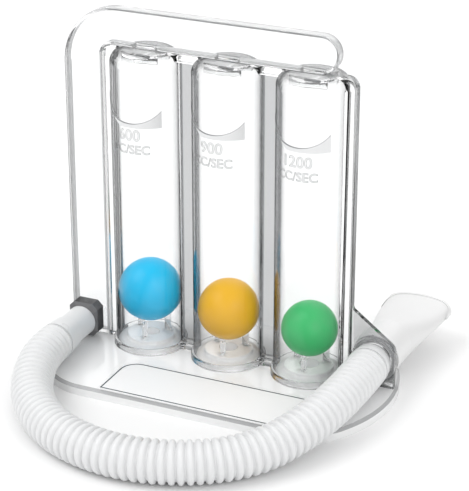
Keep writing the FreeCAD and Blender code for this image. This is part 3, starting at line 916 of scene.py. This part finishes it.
@dataclass
class BreathingHose:
    """The corrugated hose on its route, with the two smooth cuffs it ends in."""

    effects: SharedEffects
    radius: float = 0.0080
    port_radius: float = 0.0074
    port_taper: float = 0.045
    rib_depth: float = 0.0012
    rib_pitch: float = 0.0031
    crest_share: float = 0.40
    bore_radius: float = 0.0058
    ring_steps: int = 48
    rib_steps: int = 10
    path_steps: int = 16

    def build(self) -> None:
        plastic = MouldedPlastic(
            "white_hose_plastic",
            (0.70, 0.705, 0.71),
            (0.67, 0.675, 0.68),
            roughness=0.32,
            depth=0.08,
            depth_reach=(0.0015, 0.0015, 0.0015),
        ).build(self.effects)
        cuff = MouldedPlastic(
            "white_cuff_plastic",
            (0.70, 0.705, 0.71),
            (0.67, 0.675, 0.68),
            roughness=0.25,
            depth=0.15,
            depth_reach=(0.0015, 0.0015, 0.0015),
        ).build(self.effects)
        path = self._path()
        mesh = self._tube(path)
        hose = new_piece("corrugated_hose", mesh, plastic)
        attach(hose, Body.STAND.value)
        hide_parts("hose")
        cuffs = [dress(node, cuff) for node in ("port_cuff", "holder_cuff")]

    def _path(self) -> list[Vector]:
        """Reads the hose's smooth middle line from a spline on its route.

        Returns:
            Places along the line, from the port to the holder.
        """
        curve = bpy.data.curves.new("hose_line", "CURVE")
        curve.dimensions = "3D"
        spline = curve.splines.new("NURBS")
        spline.points.add(len(HOSE_ROUTE) - 1)
        for control, place in zip(spline.points, HOSE_ROUTE):
            control.co = (*place, 1.0)
        spline.order_u = 3
        spline.use_endpoint_u = True
        spline.resolution_u = self.path_steps
        holder = bpy.data.objects.new("hose_line", curve)
        bpy.context.scene.collection.objects.link(holder)
        view = bpy.context.evaluated_depsgraph_get()
        line = bpy.data.meshes.new_from_object(holder.evaluated_get(view))
        path = [vertex.co.copy() for vertex in line.vertices]
        bpy.data.objects.remove(holder)
        bpy.data.curves.remove(curve)
        bpy.data.meshes.remove(line)
        return path

    def _tube(self, path: list[Vector]) -> bpy.types.Mesh:
        """Spins the ribbed wall straight, then lays it along the path.

        Args:
            path: The middle line.

        Returns:
            The hose's mesh.
        """
        lengths = [0.0]
        for before, after in zip(path, path[1:]):
            lengths.append(lengths[-1] + (after - before).length)
        total = lengths[-1]
        ribs = round(total / self.rib_pitch)
        shape = bmesh.new()
        outline = [(self.bore_radius, 0.0)]
        for step in range(ribs * self.rib_steps + 1):
            share = step / self.rib_steps
            along = share / ribs * total
            slim = (self.radius - self.port_radius) * max(0.0, 1 - along / self.port_taper) ** 2
            outline.append((self._wall(share % 1.0) - slim, along))
        bore_steps = ribs * 2
        outline += [(self.bore_radius, total * (1 - s / bore_steps)) for s in range(bore_steps)]
        corners = [shape.verts.new((radius, 0.0, along)) for radius, along in outline]
        edges = [shape.edges.new(pair) for pair in zip(corners, corners[1:] + corners[:1])]
        bmesh.ops.spin(
            shape,
            geom=corners + edges,
            axis=(0.0, 0.0, 1.0),
            cent=(0.0, 0.0, 0.0),
            angle=math.tau,
            steps=self.ring_steps,
            use_merge=True,
        )
        bmesh.ops.remove_doubles(shape, verts=shape.verts[:], dist=1e-7)
        bmesh.ops.recalc_face_normals(shape, faces=shape.faces[:])
        self._lay(shape, path, lengths)
        return mesh_from("corrugated_hose", shape, smooth=True)

    def _wall(self, share: float) -> float:
        """The outer radius at a share of one rib's pitch, with the crest in its middle.

        Args:
            share: From 0 to 1 along the pitch.

        Returns:
            The radius there.
        """
        across = abs(share - 0.5) / self.crest_share
        if across >= 1:
            return self.radius - self.rib_depth
        return self.radius - self.rib_depth * (1 - math.sqrt(1 - across**2))

    @staticmethod
    def _lay(shape: bmesh.types.BMesh, path: list[Vector], lengths: list[float]) -> None:
        """Moves a straight tube's vertices from the Z axis onto the path.

        Args:
            shape: The tube, along Z from 0.
            path: The middle line.
            lengths: The length up to each of its places.
        """
        headings = []
        for index in range(len(path)):
            before, after = path[max(index - 1, 0)], path[min(index + 1, len(path) - 1)]
            headings.append((after - before).normalized())
        headings[0] = Vector((0.0, -1.0, 0.0))
        headings[-1] = Vector((0.0, 1.0, 0.0))
        spans: dict[float, tuple[Vector, Vector, Vector]] = {}
        for vertex in shape.verts:
            along = min(max(vertex.co.z, 0.0), lengths[-1])
            key = round(along, 7)
            if key not in spans:
                index = 0
                while index < len(path) - 2 and lengths[index + 1] < along:
                    index += 1
                share = (along - lengths[index]) / (lengths[index + 1] - lengths[index])
                middle = path[index].lerp(path[index + 1], share)
                heading = headings[index].lerp(headings[index + 1], share).normalized()
                side = heading.cross(Vector((0.0, 0.0, 1.0))).normalized()
                spans[key] = (middle, side, side.cross(heading))
            middle, side, up = spans[key]
            vertex.co = middle + side * vertex.co.x + up * vertex.co.y


@dataclass
class Fittings:
    """The dark port block, its gasket, the mouthpiece and the blank label."""

    effects: SharedEffects
    flat_normal: float = 0.93
    line_width: float = 0.00058
    line_inset: float = 0.0003
    line_height: float = 0.00004
    label_corner: float = 0.007
    corner_steps: int = 10

    def build(self) -> None:
        """Dresses the fittings and prints the label's plain border."""
        block = dress(
            "port_block",
            MouldedPlastic(
                "dark_port_plastic",
                (0.030, 0.030, 0.032),
                (0.050, 0.050, 0.052),
                roughness=0.32,
                grain_height=0.00004,
            ).build(self.effects),
        )
        # Painted highlight: the port block's bevelled faces are lighter than its flat faces.
        bevel_light_and_shade = MouldedPlastic(
            "block_bevel_painted_highlight", (0.11, 0.11, 0.115), (0.15, 0.15, 0.155), roughness=0.22
        ).build(self.effects)
        block.data.materials.append(bevel_light_and_shade)
        for face in block.data.polygons:
            face.material_index = int(max(abs(side) for side in face.normal) < self.flat_normal)
        dress(
            "port_gasket",
            MouldedPlastic(
                "gasket_rubber", (0.03, 0.03, 0.03), (0.05, 0.05, 0.05), roughness=0.7
            ).build(self.effects),
        )
        dress(
            "mouthpiece",
            MouldedPlastic(
                "white_mouthpiece_plastic",
                (0.72, 0.72, 0.72),
                (0.69, 0.69, 0.69),
                roughness=0.34,
                depth=0.2,
                depth_reach=(0.0015, 0.0015, 0.0015),
            ).build(self.effects),
        )
        dress(
            "label_panel",
            MouldedPlastic(
                "label_film",
                (0.90, 0.90, 0.90),
                (0.885, 0.885, 0.885),
                roughness=0.45,
                grain_scale=2500.0,
                grain_height=0.000004,
            ).build(self.effects),
        )
        ink = MouldedPlastic(
            "border_print", (0.06, 0.08, 0.09), (0.08, 0.10, 0.11), roughness=0.5
        ).build(self.effects)
        border = new_piece("label_border", self._border(), ink)
        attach(border, Body.STAND.value)
        LOG.info("made %s", border.name)

    def _border(self) -> bpy.types.Mesh:
        """Makes the thin printed line round the label.

        Returns:
            Its mesh, on the label's top.
        """
        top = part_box("label_panel")[1].z
        shape = bmesh.new()
        edges = []
        for inset in (self.line_inset, self.line_inset + self.line_width):
            corners = [shape.verts.new((p.x, p.y, top)) for p in self._label_line(inset)]
            edges += [shape.edges.new(pair) for pair in zip(corners, corners[1:] + corners[:1])]
        bmesh.ops.bridge_loops(shape, edges=edges)
        walls = bmesh.ops.extrude_face_region(shape, geom=shape.faces[:])
        lifted = [item for item in walls["geom"] if isinstance(item, bmesh.types.BMVert)]
        bmesh.ops.translate(shape, verts=lifted, vec=(0.0, 0.0, self.line_height))
        bmesh.ops.recalc_face_normals(shape, faces=shape.faces[:])
        return mesh_from("label_border", shape, smooth=False)

    def _label_line(self, inset: float) -> list[Vector]:
        """The label's outline moved inwards: square front corners and rounded rear ones.

        Args:
            inset: How far inwards.

        Returns:
            The outline's places, in order.
        """
        low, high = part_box("label_panel")
        radius = self.label_corner - inset
        line = [
            Vector((low.x + inset, low.y + inset)),
            Vector((high.x - inset, low.y + inset)),
        ]
        for centre_x, first in (
            (high.x - self.label_corner, 0.0),
            (low.x + self.label_corner, 90.0),
        ):
            centre = Vector((centre_x, high.y - self.label_corner))
            for step in range(self.corner_steps + 1):
                angle = math.radians(first + 90.0 * step / self.corner_steps)
                line.append(centre + radius * Vector((math.cos(angle), math.sin(angle))))
        return line


@dataclass
class Studio:
    """The pale floor, the soft lights, the surroundings and the camera."""

    effects: SharedEffects
    floor_size: float = 8.0
    frame_height: int = 491
    focal_pixels: float = 1880.83
    sensor: float = 36.0
    azimuth: float = 24.46
    elevation: float = 23.67
    distance: float = 0.71205
    target: Place = (0.00176, 0.0070, 0.05112)
    card_distance: float = 0.55
    card_size: float = 1.1

    def build(self) -> None:
        """Builds the whole studio."""
        self._floor()
        self._cards()
        self._surroundings()
        self._light("key_softbox", (-0.75, -0.55, 1.25), 1.0, 9.0)
        self._light("fill_softbox", (1.05, -0.75, 0.85), 1.0, 5.0)
        self._light("back_softbox", (-0.15, 1.15, 1.05), 1.3, 3.0)
        self._camera()
        self._render_choices()

    def _floor(self) -> None:
        """Lays the pale floor."""
        shape = bmesh.new()
        bmesh.ops.create_grid(shape, x_segments=2, y_segments=2, size=self.floor_size / 2)
        finish = MouldedPlastic(
            "floor_paper", (0.86, 0.86, 0.86), (0.85, 0.85, 0.85), roughness=0.9, mottle_scale=3.0
        ).build(self.effects)
        floor = new_piece("floor", mesh_from("floor", shape, smooth=False), finish)

    def _cards(self) -> None:
        """Hangs black cards at both sides, which give clear walls their dark edges."""
        finish = MouldedPlastic(
            "black_card", (0.01, 0.01, 0.01), (0.012, 0.012, 0.012), roughness=0.9
        ).build(self.effects)
        turn = math.radians(self.azimuth)
        upright = Matrix.Rotation(math.radians(90.0), 4, "Y")
        for name, side in (("left_card", -1.0), ("right_card", 1.0)):
            shape = bmesh.new()
            bmesh.ops.create_grid(shape, x_segments=1, y_segments=1, size=self.card_size / 2)
            place = Matrix.Translation((side * self.card_distance, 0.0, self.card_size / 2))
            facing = Matrix.Rotation(turn, 4, "Z")
            bmesh.ops.transform(shape, matrix=facing @ place @ upright, verts=shape.verts[:])
            card = new_piece(name, mesh_from(name, shape, smooth=False), finish)
            card.visible_camera = False
            card.visible_diffuse = False
            card.visible_shadow = False

    @staticmethod
    def _surroundings() -> None:
        """Sets an even pale surrounding light."""
        world = bpy.data.worlds.new("studio_air")
        world.use_nodes = True
        bpy.context.scene.world = world
        light = world.node_tree.nodes["Background"]
        light.inputs["Color"].default_value = (1.0, 1.0, 1.0, 1.0)
        light.inputs["Strength"].default_value = 0.92

    def _light(self, name: str, place: Place, size: float, power: float) -> None:
        """Adds a square soft light that faces the object.

        Args:
            name: The light's name.
            place: Where it hangs.
            size: Its side.
            power: Its power in watts.
        """
        lamp = bpy.data.lights.new(name, "AREA")
        lamp.size = size
        lamp.energy = power
        holder = bpy.data.objects.new(name, lamp)
        bpy.context.scene.collection.objects.link(holder)
        holder.location = place
        aim = Vector(self.target) - Vector(place)
        holder.rotation_euler = aim.to_track_quat("-Z", "Y").to_euler()

    def _camera(self) -> None:
        """Places the camera at the photograph's angle."""
        lens = bpy.data.cameras.new("camera")
        lens.sensor_width = self.sensor
        lens.lens = self.focal_pixels * self.sensor / self.frame_height
        lens.clip_start = 0.01
        lens.clip_end = 50.0
        holder = bpy.data.objects.new("camera", lens)
        bpy.context.scene.collection.objects.link(holder)
        turn, lift = math.radians(self.azimuth), math.radians(self.elevation)
        back = Vector(
            (math.sin(turn) * math.cos(lift), -math.cos(turn) * math.cos(lift), math.sin(lift))
        )
        holder.location = Vector(self.target) + back * self.distance
        holder.rotation_euler = (-back).to_track_quat("-Z", "Y").to_euler()
        bpy.context.scene.camera = holder

    @staticmethod
    def _render_choices() -> None:
        """Sets the tone curve and how far light is followed through clear walls."""
        scene = bpy.context.scene
        scene.view_settings.view_transform = "Standard"
        scene.view_settings.look = "None"
        scene.cycles.max_bounces = 24
        scene.cycles.transmission_bounces = 24
        scene.cycles.glossy_bounces = 8
        scene.cycles.diffuse_bounces = 4
        scene.cycles.transparent_max_bounces = 48
        scene.cycles.caustics_reflective = False
        scene.cycles.caustics_refractive = True


def main() -> None:
    """Builds the studio and each sub-assembly, in order."""
    logging.basicConfig(level=logging.INFO, format="%(name)s: %(message)s")
    effects = SharedEffects()
    Studio(effects).build()
    BreathingHose(effects).build()
    low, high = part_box("front_shell")
    ClearHousing(effects, [tube.axis() for tube in Tube], low.x, high.x).build()
    Balls(effects).build()
    FlowMarks(effects).build()
    Fittings(effects).build()


if __name__ == "__main__":
    main()
